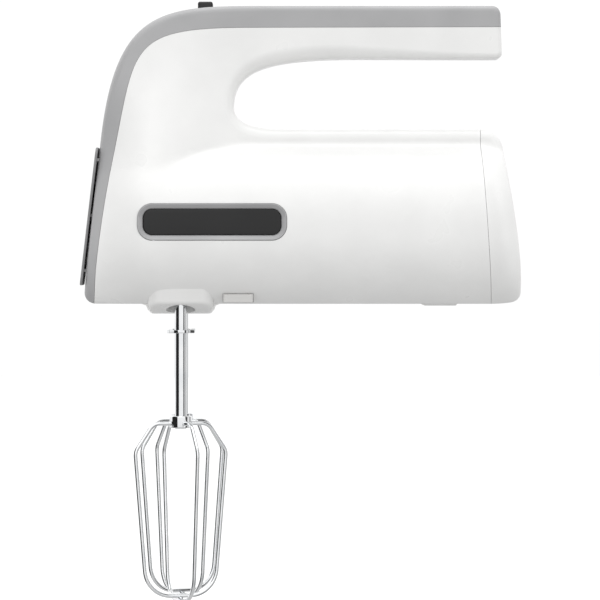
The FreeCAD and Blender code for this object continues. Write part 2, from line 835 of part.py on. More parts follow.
def worm_wheel(phase):
    """A worm wheel about its own axis, its teeth slanted to suit the worm."""
    half = float(D.wheel_width) / 2
    slant = half * (LEAD / (2 * math.pi * D.worm_radius)) / WHEEL_RADIUS
    layers = [gear_profile(phase + slant, -half), gear_profile(phase - slant, half)]
    disc = Part.makeLoft(layers, True, True)
    hub = rod(8.0, (0, 0, -half - 2), (0, 0, half + 2))
    return disc.fuse(hub).cut(rod(D.spindle_radius + 0.02, (0, 0, -20), (0, 0, 20)))


def worm_shape():
    """The two-start worm about the X axis: a core with two swept threads."""
    length = float(D.worm_length)
    radius, root = float(D.worm_radius), float(D.worm_radius) - 1.25
    core = rod(root, (0, 0, 0), (0, 0, length))
    begin = length / 2 - 1.25 * float(LEAD)
    outline = [Vector(root - 0.4, 0, -0.95), Vector(radius + 0.75, 0, -0.36),
               Vector(radius + 0.75, 0, 0.36), Vector(root - 0.4, 0, 0.95)]
    profile = Part.makePolygon(outline + outline[:1])
    threads = []
    for start in (90, 270):
        helix = Part.makeHelix(float(LEAD), length - 2 * begin, root)
        sweep = Part.Wire(helix).makePipeShell([profile], True, True)
        sweep.rotate(Vector(0, 0, 0), Vector(0, 0, 1), start)
        sweep.translate(Vector(0, 0, begin))
        threads.append(sweep)
    worm = core.fuse(threads)
    worm = worm.cut(rod(D.drive_shaft_radius + 0.02, (0, 0, -1), (0, 0, length + 1)))
    return worm


def make_gears():
    """The worm between the two wheels."""
    worm = worm_shape()
    worm.rotate(Vector(0, 0, 0), Vector(0, 1, 0), 90)
    worm.translate(Vector(-float(D.worm_length) / 2, 0, float(D.axis_up)))
    feature("worm", worm)
    pitch = 2 * math.pi / D.wheel_teeth
    for name, side in SIDES:
        wheel = worm_wheel(-side * math.pi / 2 + pitch / 2)
        wheel.translate(Vector(0, float(side * D.beater_spacing / 2), float(D.axis_up)))
        feature(f"{name}_worm_wheel", wheel)


def make_gearbox():
    """The gearbox tray with its spindle sleeves and worm posts, and its cover."""
    tray = box(TRAY_FRONT, TRAY_REAR, -TRAY_HALF, TRAY_HALF, TRAY_FLOOR, TRAY_TOP)
    uprights = [e for e in tray.Edges if e.BoundBox.ZLength > 1]
    tray = tray.makeFillet(8.0, uprights)
    bush = 6.0
    sleeves, bores = [], []
    for side in (-1, 1):
        y = side * D.beater_spacing / 2
        sleeves.append(rod(D.socket_radius - 0.1, (0, y, 9.3), (0, y, TRAY_FLOOR + 1)))
        bores.append(rod(bush + 0.02, (0, y, 5), (0, y, TRAY_TOP + 1)))
    posts, seats = [], []
    for front in (TRAY_FRONT, TRAY_REAR - 4.5):
        posts.append(box(front, front + 4.5, -7, 7, TRAY_TOP - 0.5, D.axis_up + 7.9))
        seats.append(rod(BEARING_RADIUS + 0.02, (front - 1, 0, D.axis_up), (front + 6, 0, D.axis_up)))
    feet = [rod(3.2, (x, y, TRAY_TOP - 0.5), (x, y, COVER_FLOOR))
            for x in (-17.5, 20.0) for y in (-30.5, 30.5)]
    holes = [rod(1.05, (x, y, TRAY_TOP + 2), (x, y, COVER_FLOOR + 1))
             for x in (-17.5, 20.0) for y in (-30.5, 30.5)]
    tray = tray.fuse(sleeves + posts + feet).cut(bores + seats + holes)
    feature("gearbox_tray", tray)
    cover = box(TRAY_FRONT, TRAY_REAR, -TRAY_HALF + 1.5, TRAY_HALF - 1.5,
                COVER_FLOOR, COVER_FLOOR + 2)
    uprights = [e for e in cover.Edges if e.BoundBox.ZLength > 1]
    cover = cover.makeFillet(6.0, uprights)
    cuts = [rod(D.spindle_radius + D.running_fit, (0, s * D.beater_spacing / 2, 40),
                (0, s * D.beater_spacing / 2, 70)) for s in (-1, 1)]
    cuts += [rod(1.15, (x, y, 40), (x, y, 70)) for x in (-17.5, 20.0) for y in (-30.5, 30.5)]
    feature("gearbox_cover", cover.cut(cuts))
    screws = []
    for x in (-17.5, 20.0):
        for y in (-30.5, 30.5):
            shank = rod(1.0, (x, y, COVER_FLOOR - 6), (x, y, COVER_FLOOR + 2))
            screws.append(shank.fuse(rod(2.2, (x, y, COVER_FLOOR + 2), (x, y, COVER_FLOOR + 3.6))))
    feature("gearbox_screws", Part.makeCompound(screws))


def make_spindles():
    """Each hollow output spindle with its bushes, washer and retaining clip."""
    low, top = 6.0, D.spindle_top
    inside, outside = D.shaft_radius + 0.1, D.spindle_radius
    bush_in, bush_out = outside + D.running_fit, 6.0
    lower, upper = [], []
    for name, side in SIDES:
        y = side * D.beater_spacing / 2
        groove = top - 1.7
        outline = [(inside, low), (outside, low), (outside, TRAY_TOP + 0.9),
                   (outside + 1.2, TRAY_TOP + 0.9), (outside + 1.2, TRAY_TOP + 2.5),
                   (outside, TRAY_TOP + 2.5), (outside, groove), (outside - 0.7, groove),
                   (outside - 0.7, groove + 0.8), (outside, groove + 0.8), (outside, top),
                   (inside, top)]
        turned(f"{name}_spindle", outline, (0.0, y, 0.0))
        lower.append(tube(bush_out, bush_in, (0, y, 10), (0, y, 17)))
        sleeve = tube(bush_out, bush_in, (0, y, TRAY_TOP - 7), (0, y, TRAY_TOP + 0.01))
        flange = tube(7.6, bush_in, (0, y, TRAY_TOP), (0, y, TRAY_TOP + 0.8))
        upper.append(sleeve.fuse(flange))
        clip = [(outside - 0.65, 0.0), (outside + 1.6, 0.0), (outside + 1.6, 0.6),
                (outside - 0.65, 0.6)]
        turned(f"{name}_retaining_clip", clip, (0.0, y, groove + 0.1))
    feature("lower_bushes", Part.makeCompound(lower))
    feature("upper_bushes", Part.makeCompound(upper))


def make_motor():
    """The motor: can, magnets, bearings, end bell, brushes and the turning rotor."""
    axis = (0.0, D.axis_up)
    front, rear = D.motor_front, D.motor_front + D.motor_length
    outer, shaft = D.motor_radius, D.drive_shaft_radius
    inner = outer - 1.6
    can = [(6.0, 0.0), (outer, 0.0), (outer, D.motor_length), (inner, D.motor_length),
           (inner, 1.8), (6.0, 1.8)]
    turned("motor_can", can, (front, *axis), "X")
    ring = tube(inner - 0.05, 16.4, (front + 4, *axis), (front + 34, *axis))
    gaps = box(0, 200, -3, 3, D.axis_up - 40, D.axis_up + 40)
    feature("motor_magnets", Part.makeCompound(ring.cut(gaps).Solids))
    mount = box(front - 2, front, -24, 24, D.axis_up - 20, D.axis_up + 20)
    legs = [box(TRAY_REAR, front - 1.9, s * 22 - 2, s * 22 + 2, TRAY_FLOOR, TRAY_TOP)
            for s in (-1, 1)]
    holes = [rod(6.05, (20, *axis), (60, *axis))]
    for y in (-12, 12):
        holes.append(rod(1.3, (20, y, D.axis_up), (60, y, D.axis_up)))
    feature("motor_mount", mount.fuse(legs).cut(holes))
    screws = []
    for y in (-12, 12):
        shank = rod(1.2, (front - 2, y, D.axis_up), (front + 1.7, y, D.axis_up))
        screws.append(shank.fuse(rod(2.2, (front - 3.5, y, D.axis_up), (front - 2, y, D.axis_up))))
    can_holes = [rod(1.25, (front - 1, y, D.axis_up), (front + 3, y, D.axis_up)) for y in (-12, 12)]
    drill_can(can_holes)
    feature("motor_screws", Part.makeCompound(screws))
    bearings = [tube(BEARING_RADIUS, shaft + D.running_fit, (x, *axis), (x + 3.5, *axis))
                for x in (TRAY_FRONT + 0.5, TRAY_REAR - 4.0)]
    feature("worm_bearings", Part.makeCompound(bearings))
    bearings = [tube(6.0, shaft + D.running_fit, (front - 1.9, *axis), (front + 1.8, *axis)),
                tube(6.0, shaft + D.running_fit, (rear + 4.5, *axis), (rear + 7.0, *axis))]
    feature("motor_bearings", Part.makeCompound(bearings))
    bell = [(6.02, 7.0), (outer, 7.0), (outer, 0.0), (inner, 0.0), (inner, 4.5), (6.02, 4.5)]
    turned("motor_end_bell", bell, (rear, *axis), "X")
    arms = []
    for s in (-1, 1):
        arms.append(box(rear - 1, rear + 4.4, *sorted((s * 7.1, s * 13)), D.axis_up - 2, D.axis_up + 2))
    feature("motor_brushes", Part.makeCompound(arms))
    outline = [(0.0, 0.0), (shaft, 0.0), (shaft, rear + 7.1 - ROTOR_FRONT),
               (0.0, rear + 7.1 - ROTOR_FRONT)]
    turned("motor_shaft", outline, (ROTOR_FRONT, *axis), "X")
    core = tube(15.9, shaft + 0.02, (front + 9, *axis), (front + 29, *axis))
    slots = []
    for index in range(12):
        slot = box(front + 8, front + 30, -0.9, 0.9, 13.5, 20)
        wide = box(front + 8, front + 30, -2.0, 2.0, 8.0, 14.0)
        for cut in (slot, wide):
            cut.rotate(Vector(0, 0, 0), Vector(1, 0, 0), index * 30)
            cut.translate(Vector(0, 0, float(D.axis_up)))
            slots.append(cut)
    feature("armature_core", core.cut(slots))
    coils = [tube(13.2, 5.0, (front + 5.5, *axis), (front + 8.98, *axis)),
             tube(13.2, 5.0, (front + 29.02, *axis), (front + 32.5, *axis))]
    feature("armature_windings", Part.makeCompound(coils))
    segments = tube(6.9, shaft + 0.02, (rear - 3, *axis), (rear + 4.2, *axis))
    cuts = []
    for index in range(12):
        cut = box(rear - 1, rear + 5, -0.15, 0.15, 6.2, 8)
        cut.rotate(Vector(0, 0, 0), Vector(1, 0, 0), 15 + index * 30)
        cut.translate(Vector(0, 0, float(D.axis_up)))
        cuts.append(cut)
    feature("commutator", segments.cut(cuts))
    make_fan(25.0)


def drill_can(holes):
    """Put the mounting holes into the front of the motor can."""
    can = next(part for part in PARTS if part.Label == "motor_can")
    doc.recompute()
    drilled = can.Shape.cut(holes)
    PARTS.remove(can)
    can.Label = "motor_can_blank"
    feature("motor_can", drilled)


def make_fan(front):
    """The cooling fan between the gearbox and the motor."""
    hub = tube(6.0, D.drive_shaft_radius + 0.02, (front, 0, D.axis_up), (front + 7, 0, D.axis_up))
    disc = tube(D.fan_radius, D.drive_shaft_radius + 0.02, (front + 5.6, 0, D.axis_up),
                (front + 7, 0, D.axis_up))
    blades = []
    for index in range(11):
        blade = box(front + 0.5, front + 5.8, -0.6, 0.6, 5.5, D.fan_radius - 0.2)
        blade.rotate(Vector(0, 0, 5.5), Vector(1, 0, 0), 18)
        blade.rotate(Vector(0, 0, 0), Vector(1, 0, 0), index * 360 / 11)
        blade.translate(Vector(0, 0, float(D.axis_up)))
        blades.append(blade)
    rim = rod(D.fan_radius, (front - 1, 0, D.axis_up), (front + 8, 0, D.axis_up))
    feature("cooling_fan", hub.fuse([disc] + blades).common(rim).removeSplitter())


make_gears()
make_gearbox()
make_spindles()
make_motor()

# Battery and electrics ----------------------------------------------------------------

HOLDER_FLOOR = D.axis_up - D.cell_radius - 1.8
BOARD_FLOOR = D.axis_up + 14.5


def make_battery():
    """Three round cells in an open holder, with their contact straps."""
    front, rear = D.cell_front, D.cell_front + D.cell_length
    half = D.cell_pitch + D.cell_radius + 1.4
    tray = box(front - 2.2, rear + 2.2, -half, half, HOLDER_FLOOR, D.axis_up)
    troughs = [rod(D.cell_radius + 0.15, (front - 0.7, y, D.axis_up), (rear + 0.7, y, D.axis_up))
               for y in (-D.cell_pitch, 0.0, D.cell_pitch)]
    walls = [box(front + 1, front + 45, *sorted((s * half, s * (half - 1.2))), D.axis_up - 1,
                 BOARD_FLOOR) for s in (-1, 1)]
    feature("battery_holder", tray.fuse(walls).cut(troughs))
    cells = []
    for y in (-D.cell_pitch, 0.0, D.cell_pitch):
        cell = rod(D.cell_radius, (front, y, D.axis_up), (rear - 1, y, D.axis_up))
        rims = [e for e in cell.Edges if e.Length > 50 and e.BoundBox.XLength < 0.01]
        cell = cell.makeFillet(0.8, rims)
        cells.append(cell.fuse(rod(3.0, (rear - 1.1, y, D.axis_up), (rear, y, D.axis_up))))
    feature("battery_cells", Part.makeCompound(cells))
    strap_half = D.cell_pitch + 5
    straps = [box(front - 0.35, front - 0.02, -strap_half, strap_half, D.axis_up, D.axis_up + 5),
              box(rear + 0.02, rear + 0.35, -strap_half, strap_half, D.axis_up, D.axis_up + 5)]
    feature("battery_straps", Part.makeCompound(straps))


def make_board():
    """The control board on the holder's side walls, with its larger components."""
    half = D.cell_pitch + D.cell_radius + 1.4
    x0 = D.cell_front + 1.5
    board = box(x0, x0 + 43, -half, half, BOARD_FLOOR, BOARD_FLOOR + 1.6)
    lumps = [box(x0 + 6, x0 + 16, -20, -8, BOARD_FLOOR + 1.6, BOARD_FLOOR + 4.5),
             box(x0 + 20, x0 + 30, 4, 12, BOARD_FLOOR + 1.6, BOARD_FLOOR + 3.2),
             rod(4.0, (x0 + 12, 14, BOARD_FLOOR + 1.5), (x0 + 12, 14, BOARD_FLOOR + 9)),
             rod(4.0, (x0 + 34, -14, BOARD_FLOOR + 1.5), (x0 + 34, -14, BOARD_FLOOR + 9))]
    feature("control_board", board.fuse(lumps).removeSplitter())


def rounded_path(points, radii):
    """A wire through the points with each corner rounded to its own radius."""
    corners = [Vector(*[float(c) for c in point]) for point in points]
    edges, start = [], corners[0]
    for before, corner, after, radius in zip(corners, corners[1:], corners[2:], radii):
        back = (before - corner).normalize()
        ahead = (after - corner).normalize()
        half = back.getAngle(ahead) / 2
        reach = radius / math.tan(half)
        enter, leave = corner + back * reach, corner + ahead * reach
        centre = corner + (back + ahead).normalize() * (radius / math.sin(half))
        middle = centre + (corner - centre).normalize() * radius
        edges.append(Part.makeLine(start, enter))
        edges.append(Part.Arc(enter, middle, leave).toShape())
        start = leave
    edges.append(Part.makeLine(start, corners[-1]))
    return Part.Wire(edges)


def swept(path, radius):
    """A round bar along a wire of straight runs and arcs."""
    start = path.Edges[0].valueAt(path.Edges[0].FirstParameter)
    heading = path.Edges[0].tangentAt(path.Edges[0].FirstParameter)
    circle = Part.Wire(Part.makeCircle(float(radius), start, heading))
    return path.makePipeShell([circle], True, False)


SWITCH = (20.0, 48.0, 124.0, 131.0)
LEAD_UP = 18.4


def make_wiring():
    """Three leads from the control board, over the motor and up the column."""
    leads = []
    for y in (-5.0, 0.0, 5.0):
        route = [(D.cell_front + 4.0, y, BOARD_FLOOR + 1.62), (D.cell_front + 4.0, y, 69.5),
                 (LEAD_UP, y, 69.5), (LEAD_UP, y, 112.0), (SWITCH[0] + 2.5, y, 117.5),
                 (SWITCH[0] + 2.5, y, SWITCH[2] - 0.02)]
        leads.append(swept(rounded_path(route, [2.5] * len(route)), 0.85))
    feature("wiring", Part.makeCompound(leads))


def make_switch():
    """The sliding speed switch under the grip's front, with its slot."""
    body = box(SWITCH[0], SWITCH[1], -9, 9, SWITCH[2], SWITCH[3])
    slot = box(SWITCH[0] + 1.5, SWITCH[0] + 23, -2.2, 2.2, SWITCH[3] - 3.5, SWITCH[3] + 1)
    feature("speed_switch", body.cut(slot))


# Controls -----------------------------------------------------------------------------


def make_controls():
    """The speed slider, the knob that also presses down, and the ejector under it."""
    x, half_long, half_wide = D.knob_across, D.knob_length / 2, D.knob_width / 2
    floor, top = 136.9, 139.0
    well = 0.3
    plate = box(x - half_long - 2.6, x + half_long + 16.5, -10.5, 10.5, floor, top)
    hole = box(x - half_long - well, x + half_long + well, -half_wide - well, half_wide + well,
               floor - 1, top + 1)
    tongue = box(x + 12.2, x + 14.2, -1.6, 1.6, SWITCH[3] - 2.5, floor + 0.1)
    feature("slider_carriage", plate.cut(hole).fuse(tongue))
    outline = rectangle(x - half_long, x + half_long, -half_wide, half_wide)
    knob = new_body("speed_knob", (0.0, 0.0, 0.0), "Z")
    pad = knob.newObject("PartDesign::Pad", "cap")
    underside = floor + 0.1
    pad.Profile = polygon(knob, outline, "XY_Plane", underside)
    pad.Length = float(D.knob_top - underside)
    bind(pad, "Length", D.knob_top - underside)
    doc.recompute()
    names = [f"Edge{n}" for n, edge in enumerate(pad.Shape.Edges, start=1)
             if edge.BoundBox.ZMin > D.knob_top - 0.01]
    rounding = knob.newObject("PartDesign::Fillet", "rounding")
    rounding.Base = (pad, names)
    rounding.Radius = 1.3
    rod_top = floor - 0.1
    yoke_floor, yoke_top = 58.5, 62.0
    stem = box(x - 2, x + 2, -3, 3, yoke_floor, rod_top)
    flange = rod(4.6, (x, 0, 118), (x, 0, 119.5))
    yoke = box(x - 2, x + 2, -3, 3, yoke_floor, yoke_top)
    bar = box(-3.2, x + 2, -4, 4, yoke_floor, yoke_top)
    cross = box(-3.2, 3.2, -D.beater_spacing / 2 - 3, D.beater_spacing / 2 + 3, yoke_floor, yoke_top)
    pin_foot = D.shaft_top + D.press_travel + 0.3
    pins = [rod(2.4, (0, s * D.beater_spacing / 2, pin_foot), (0, s * D.beater_spacing / 2, yoke_floor + 1))
            for s in (-1, 1)]
    feature("eject_rod", stem.fuse([flange, yoke, bar, cross] + pins).removeSplitter())
    helix = Part.makeHelix(2.6, 14.7, 4.0)
    circle = Part.Wire(Part.makeCircle(0.4, Vector(4, 0, 0), Vector(0, 1, 0)))
    spring = Part.Wire(helix).makePipeShell([circle], True, True)
    spring.translate(Vector(float(x), 0, 102.6))
    feature("eject_spring", spring)


make_battery()
make_board()
make_wiring()
make_switch()
make_controls()

# Beaters --------------------------------------------------------------------------------

BEATER_TURN = {"left": 21.4, "right": 33.5}


def wire_loop(bottom):
    """One closed loop of beater wire in the XZ plane about the Z axis."""
    radius = float(D.cage_radius)
    neck, top = float(D.hub_radius) - 0.9, float(D.hub_middle)
    half = [(neck, top), (radius - 9.0, top), (radius, top - 13.0), (radius - 5.7, bottom)]
    points = [(r, 0.0, z) for r, z in half] + [(-r, 0.0, z) for r, z in reversed(half)]
    return rounded_path(points, [6.0, 6.0, 13.0, 13.0, 6.0, 6.0])


def make_beater(name, side):
    """One beater: shaft, winged collar, hub and two crossing wire loops."""
    y = side * D.beater_spacing / 2
    shaft, hub = D.shaft_radius, D.hub_radius
    centre = D.hub_middle + D.hub_lift
    hub_floor, hub_top = centre - D.hub_length / 2, centre + D.hub_length / 2
    outline = [(0.0, hub_floor - 0.4), (shaft - 0.4, hub_floor - 0.4), (shaft, hub_floor),
               (shaft, D.shaft_top - 7.0), (shaft - 0.45, D.shaft_top - 6.2),
               (shaft - 0.45, D.shaft_top - 4.8), (shaft, D.shaft_top - 4.0),
               (shaft, D.shaft_top - 1.0), (shaft - 1.0, D.shaft_top), (0.0, D.shaft_top)]
    turned(f"{name}_beater_shaft", outline, (0.0, y, 0.0))
    drop = -float(D.collar_drop)
    collar = tube(4.4, shaft + 0.02, (0, 0, drop - 0.75), (0, 0, drop + 0.75))
    wings = box(-6.3, 6.3, -1.7, 1.7, drop - 0.75, drop + 0.75)
    wings = wings.cut(rod(shaft + 0.02, (0, 0, drop - 2), (0, 0, drop + 2)))
    collar = collar.fuse(wings).removeSplitter()
    drum = tube(hub, shaft + 0.02, (0, 0, hub_floor), (0, 0, hub_top))
    rims = [e for e in drum.Edges if e.Length > 30 and e.BoundBox.ZLength < 0.01]
    drum = drum.makeFillet(0.5, rims)
    bores = []
    for turn in (0, 90, 180, 270):
        bore = rod(D.wire_radius + 0.03, (hub - 0.95, 0, D.hub_middle), (hub + 3, 0, D.hub_middle))
        bore.rotate(Vector(0, 0, 0), Vector(0, 0, 1), turn)
        bores.append(bore)
    drum = drum.cut(bores)
    pieces = [("collar", collar), ("hub", drum)]
    for letter, turn, bottom in (("a", 0, D.cage_bottom + 2.3), ("b", 90, D.cage_bottom)):
        loop = swept(wire_loop(float(bottom)), D.wire_radius)
        loop.rotate(Vector(0, 0, 0), Vector(0, 0, 1), turn)
        pieces.append((f"loop_{letter}", loop))
    for kind, shape in pieces:
        shape.rotate(Vector(0, 0, 0), Vector(0, 0, 1), BEATER_TURN[name])
        shape.translate(Vector(0, float(y), 0))
        feature(f"{name}_beater_{kind}", shape)


for NAME, SIDE in SIDES:
    make_beater(NAME, SIDE)

# Write the parts ----------------------------------------------------------------------


def sound(thing):
    """Whether an object recomputed without an error and holds a valid shape."""
    if any(state in ("Invalid", "Error") for state in thing.State):
        return False
    return not hasattr(thing, "Shape") or thing.Shape.isNull() or thing.Shape.isValid()


doc.recompute()
faulty = [thing.Label for thing in doc.Objects if not sound(thing)]
faulty += [part.Label for part in PARTS if part.Shape.isNull() or not part.Shape.Solids]
if faulty:
    raise RuntimeError("these objects failed: " + ", ".join(faulty))
for part in PARTS:
    part.Shape.exportStep(os.path.join("parts", part.Label + ".step"))
print(len(PARTS), "sub-parts written")
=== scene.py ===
"""Cordless hand mixer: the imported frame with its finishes, detailed pieces and studio.

Metres, +Z up, +X towards the rear, -Y the user's left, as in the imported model.
"""
import logging
import math
from collections.abc import Callable, Iterator
from contextlib import contextmanager
from dataclasses import dataclass, field
from enum import Enum

import bpy
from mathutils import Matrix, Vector


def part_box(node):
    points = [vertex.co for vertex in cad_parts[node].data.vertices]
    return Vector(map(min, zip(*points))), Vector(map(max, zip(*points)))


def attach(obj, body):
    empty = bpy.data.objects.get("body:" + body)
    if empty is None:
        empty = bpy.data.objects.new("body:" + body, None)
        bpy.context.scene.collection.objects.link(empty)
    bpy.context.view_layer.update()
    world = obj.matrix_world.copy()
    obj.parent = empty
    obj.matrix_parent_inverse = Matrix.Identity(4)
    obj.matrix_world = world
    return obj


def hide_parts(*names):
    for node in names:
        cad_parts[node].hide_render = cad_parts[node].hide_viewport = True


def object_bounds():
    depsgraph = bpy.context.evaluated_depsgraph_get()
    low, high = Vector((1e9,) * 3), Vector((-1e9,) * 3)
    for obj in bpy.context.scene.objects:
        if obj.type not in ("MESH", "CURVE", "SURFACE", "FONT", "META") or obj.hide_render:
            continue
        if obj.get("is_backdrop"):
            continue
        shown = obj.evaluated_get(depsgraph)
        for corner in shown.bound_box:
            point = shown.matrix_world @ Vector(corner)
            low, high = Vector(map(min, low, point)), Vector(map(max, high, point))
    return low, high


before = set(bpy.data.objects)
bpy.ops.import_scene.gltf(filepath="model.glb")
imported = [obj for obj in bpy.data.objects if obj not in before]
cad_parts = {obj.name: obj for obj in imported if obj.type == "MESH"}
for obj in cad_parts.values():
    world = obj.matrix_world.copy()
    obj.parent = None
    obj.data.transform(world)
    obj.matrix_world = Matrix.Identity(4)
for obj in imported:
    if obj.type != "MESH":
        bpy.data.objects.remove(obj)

logging.basicConfig(level=logging.INFO, format="%(name)s: %(message)s")
LOG = logging.getLogger("mixer")
MM = 0.001
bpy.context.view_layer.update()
SIDES = ("left", "right")

# Materials ------------------------------------------------------------------------

NOISE_LOW, NOISE_HIGH = 0.3, 0.7  # nearly all of a noise texture's values lie between these
ONE_BAND = 0.3  # scale at which a wave texture repeats about once per unit


def linear(code: str) -> tuple[float, float, float, float]:
    """Turn an sRGB hex colour into Blender's linear colour.

    Args:
        code: Six hex digits after a hash sign.

    Returns:
        Red, green, blue and an alpha of 1.
    """
    channels = [int(code[place:place + 2], 16) / 255 for place in (1, 3, 5)]
    low = [c / 12.92 if c <= 0.04045 else ((c + 0.055) / 1.055) ** 2.4 for c in channels]
    return (*low, 1.0)


def node(tree: bpy.types.NodeTree, kind: str, **settings: object) -> bpy.types.Node:
    """Add a shader node with its settings and links.

    Args:
        tree: The material's or world's node tree.
        kind: The node's type after "ShaderNode".
        **settings: Properties or inputs by name, with underscores for spaces.  A socket
            is linked and any other value is set.

    Returns:
        The new node.
    """
    made = tree.nodes.new("ShaderNode" + kind)
    for name, value in settings.items():
        if hasattr(made, name):
            setattr(made, name, value)
            continue
        socket = made.inputs[name.replace("_", " ")]
        if isinstance(value, bpy.types.NodeSocket):
            tree.links.new(value, socket)
        else:
            socket.default_value = value
    return made


def blend(tree: bpy.types.NodeTree, share: bpy.types.NodeSocket, first: str, second: str,
          low: float = 0.35, high: float = 0.65) -> bpy.types.NodeSocket:
    """Mix two hex colours by a pattern.

    Args:
        tree: The material's node tree.
        share: The pattern's value socket.
        first: Colour where the pattern is low.
        second: Colour where it is high.
        low: Pattern value that gives the first colour alone.
        high: Pattern value that gives the second colour alone.

    Returns:
        The colour socket.
    """
    ramp = node(tree, "ValToRGB", Fac=share)
    ramp.color_ramp.elements[0].position = low
    ramp.color_ramp.elements[0].color = linear(first)
    ramp.color_ramp.elements[1].position = high
    ramp.color_ramp.elements[1].color = linear(second)
    return ramp.outputs["Color"]


def fresh_tree(owner: bpy.types.Material | bpy.types.World) -> bpy.types.NodeTree:
    """Turn on the nodes of a material or world and clear them."""
    owner.use_nodes = True
    owner.node_tree.nodes.clear()
    return owner.node_tree


@dataclass(frozen=True)
class Finish:
    """What a surface is made of and how it was made."""

    name: str
    colour: str
    second: str
    roughness: float

    def build(self) -> bpy.types.Material:
        """Make the material."""
        material = bpy.data.materials.new(self.name)
        tree = fresh_tree(material)
        shader = node(tree, "BsdfPrincipled")
        self.surface(tree, shader)
        node(tree, "OutputMaterial", Surface=shader.outputs["BSDF"])
        return material

    def surface(self, tree: bpy.types.NodeTree, shader: bpy.types.Node) -> None:
        """Add the colour, gloss and relief to the shader."""
        raise NotImplementedError

    def place(self, tree: bpy.types.NodeTree,
              scale: tuple[float, float, float] = (1.0, 1.0, 1.0)) -> bpy.types.NodeSocket:
        """Object coordinates in millimetres, stretched by scale."""
        coordinates = node(tree, "TexCoord")
        mapping = node(tree, "Mapping", Vector=coordinates.outputs["Object"],
                       Scale=[part / MM for part in scale])
        return mapping.outputs["Vector"]

    def spread(self, tree: bpy.types.NodeTree, shader: bpy.types.Node,
               pattern: bpy.types.NodeSocket, reach: float) -> None:
        """Vary the roughness about its middle by a pattern."""
        levels = node(tree, "MapRange", Value=pattern, From_Min=NOISE_LOW, From_Max=NOISE_HIGH,
                      To_Min=self.roughness - reach, To_Max=self.roughness + reach)
        tree.links.new(levels.outputs["Result"], shader.inputs["Roughness"])

    def raised(self, tree: bpy.types.NodeTree, shader: bpy.types.Node,
               pattern: bpy.types.NodeSocket, height: float) -> None:
        """Raise the surface by a pattern, up to a height in millimetres."""
        bump = node(tree, "Bump", Height=pattern, Distance=height * MM)
        tree.links.new(bump.outputs["Normal"], shader.inputs["Normal"])


@dataclass(frozen=True)
class MouldedPlastic(Finish):
    """Injection moulded plastic: the tool's spark texture, faint flow mottling and sheen."""

    grain: float = 0.45
    relief: float = 0.012
    mottle: float = 22.0
    gloss_reach: float = 0.035
    coat: float = 0.0
    coat_roughness: float = 0.12
    ior: float = 1.52

    def surface(self, tree: bpy.types.NodeTree, shader: bpy.types.Node) -> None:
        """Mottle the colour, vary the gloss and raise the spark texture."""
        where = self.place(tree)
        flow = node(tree, "TexNoise", Vector=where, Scale=1 / self.mottle, Detail=3.0)
        grain = node(tree, "TexNoise", Vector=where, Scale=1 / self.grain, Detail=2.0,
                     Roughness=0.6)
        colour = blend(tree, flow.outputs["Fac"], self.colour, self.second)
        tree.links.new(colour, shader.inputs["Base Color"])
        self.spread(tree, shader, flow.outputs["Fac"], self.gloss_reach)
        self.raised(tree, shader, grain.outputs["Fac"], self.relief)
        shader.inputs["IOR"].default_value = self.ior
        shader.inputs["Coat Weight"].default_value = self.coat
        shader.inputs["Coat Roughness"].default_value = self.coat_roughness


@dataclass(frozen=True)
class DrawnMetal(Finish):
    """Bright metal with the fine lines of drawing or grinding along one direction."""

    lines: tuple[float, float, float] = (3.0, 3.0, 0.15)
    relief: float = 0.004
    gloss_share: float = 0.4

    def surface(self, tree: bpy.types.NodeTree, shader: bpy.types.Node) -> None:
        """Draw the lines into the gloss and the relief."""
        where = self.place(tree, self.lines)
        lines = node(tree, "TexNoise", Vector=where, Scale=1.0, Detail=4.0)
        cloud = node(tree, "TexNoise", Vector=self.place(tree), Scale=0.12, Detail=2.0)
        colour = blend(tree, cloud.outputs["Fac"], self.colour, self.second)
        tree.links.new(colour, shader.inputs["Base Color"])
        self.spread(tree, shader, lines.outputs["Fac"], self.roughness * self.gloss_share)
        self.raised(tree, shader, lines.outputs["Fac"], self.relief)
        shader.inputs["Metallic"].default_value = 1.0


@dataclass(frozen=True)
class SinteredPart(Finish):
    """Pressed powder: open pores, with painted shade in them, over a dull body."""

    pore: float = 0.35
    relief: float = 0.03
    metallic: float = 1.0

    def surface(self, tree: bpy.types.NodeTree, shader: bpy.types.Node) -> None:
        """Sink pores into the body and paint shade in them."""
        where = self.place(tree)
        pores = node(tree, "TexVoronoi", Vector=where, Scale=1 / self.pore)
        # painted shade: the second, darker colour fills the pores where the bump sinks them
        colour = blend(tree, pores.outputs["Distance"], self.second, self.colour, 0.1, 0.4)
        tree.links.new(colour, shader.inputs["Base Color"])
        self.raised(tree, shader, pores.outputs["Distance"], self.relief)
        shader.inputs["Metallic"].default_value = self.metallic
        shader.inputs["Roughness"].default_value = self.roughness


@dataclass(frozen=True)
class WoundWire(Finish):
    """Enamelled wire laid turn on turn, seen as fine ridges with painted shade between them."""

    pitch: float = 0.6
    relief: float = 0.12
    metallic: float = 0.8

    def surface(self, tree: bpy.types.NodeTree, shader: bpy.types.Node) -> None:
        """Ridge the surface at the wire's pitch and paint shade between the turns."""
        turns = node(tree, "TexWave", Vector=self.place(tree), Scale=ONE_BAND / self.pitch,
                     Distortion=1.2, Detail=1.0, bands_direction="Y")
        # painted shade: the second, darker colour lies in the grooves between the turns
        colour = blend(tree, turns.outputs["Fac"], self.second, self.colour, 0.1, 0.6)
        tree.links.new(colour, shader.inputs["Base Color"])
        self.raised(tree, shader, turns.outputs["Fac"], self.relief)
        shader.inputs["Metallic"].default_value = self.metallic
        shader.inputs["Roughness"].default_value = self.roughness


